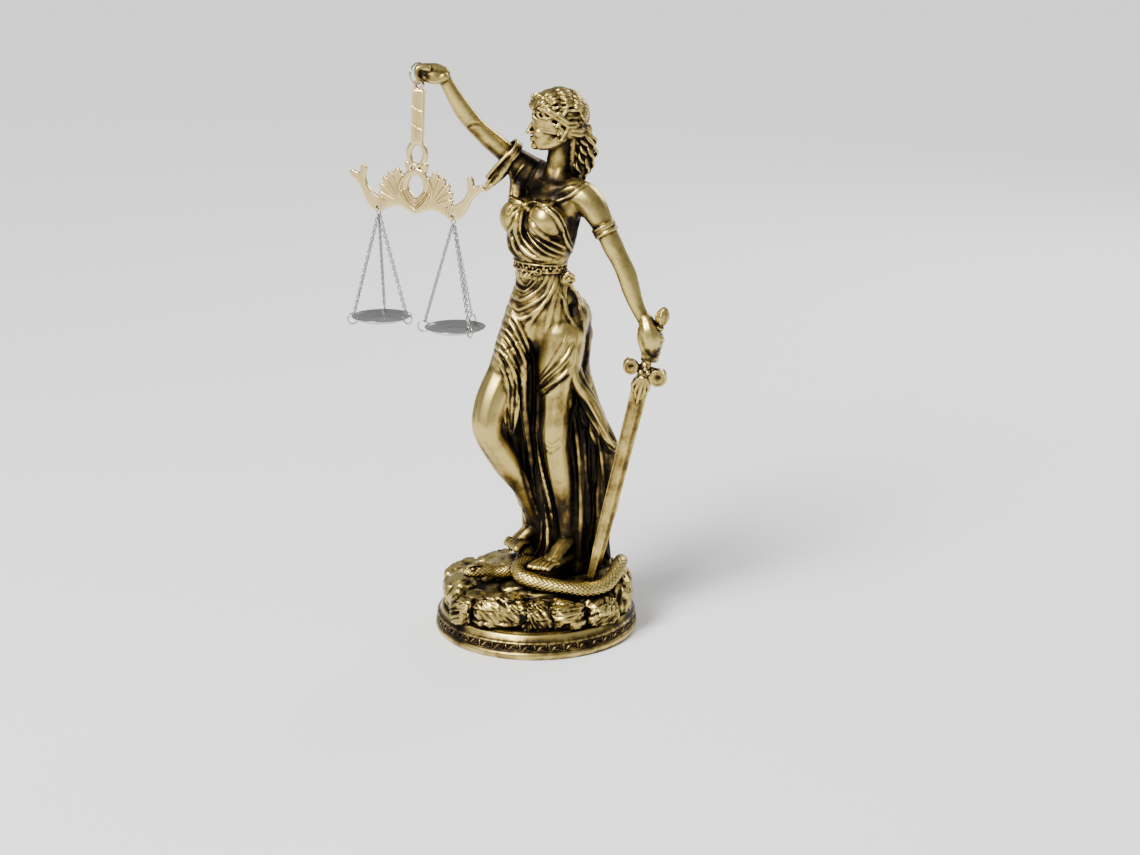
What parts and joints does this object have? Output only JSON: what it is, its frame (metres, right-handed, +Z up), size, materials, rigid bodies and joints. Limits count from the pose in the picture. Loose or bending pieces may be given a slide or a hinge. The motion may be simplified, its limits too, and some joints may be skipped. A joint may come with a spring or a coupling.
{
  "type": "lady justice statuette",
  "caption": "Standing blindfolded figure of Justice in cast resin on a round plinth, with raised balance, lowered sword, snake and boulders.",
  "frame": {"origin": "centre of the round plinth's underside", "axes": "+Z up, +Y away from the viewer of the front, +X to the figure's left hand side with the sword"},
  "size_m": [0.1668, 0.109, 0.3],
  "materials": {
    "bronzed_resin": "cast polyresin with bronze-gold metallic paint, rubbed bright on high places over a black-brown wash in the folds",
    "pale_gold_metal": "cast zinc with pale champagne-gold plating, satin",
    "steel": "nickel-plated steel, bright"
  },
  "bodies": {
    "root": {"statue": "bronzed_resin", "scale_beam": "pale_gold_metal", "hanging_wire": "steel", "left_hook_ring": "steel", "left_pan": "steel", "left_chain_1": "steel", "left_rim_ring_1": "steel", "left_chain_2": "steel", "left_rim_ring_2": "steel", "left_chain_3": "steel", "left_rim_ring_3": "steel", "right_hook_ring": "steel", "right_pan": "steel", "right_chain_1": "steel", "right_rim_ring_1": "steel", "right_chain_2": "steel", "right_rim_ring_2": "steel", "right_chain_3": "steel", "right_rim_ring_3": "steel"}
  },
  "joints": []
}
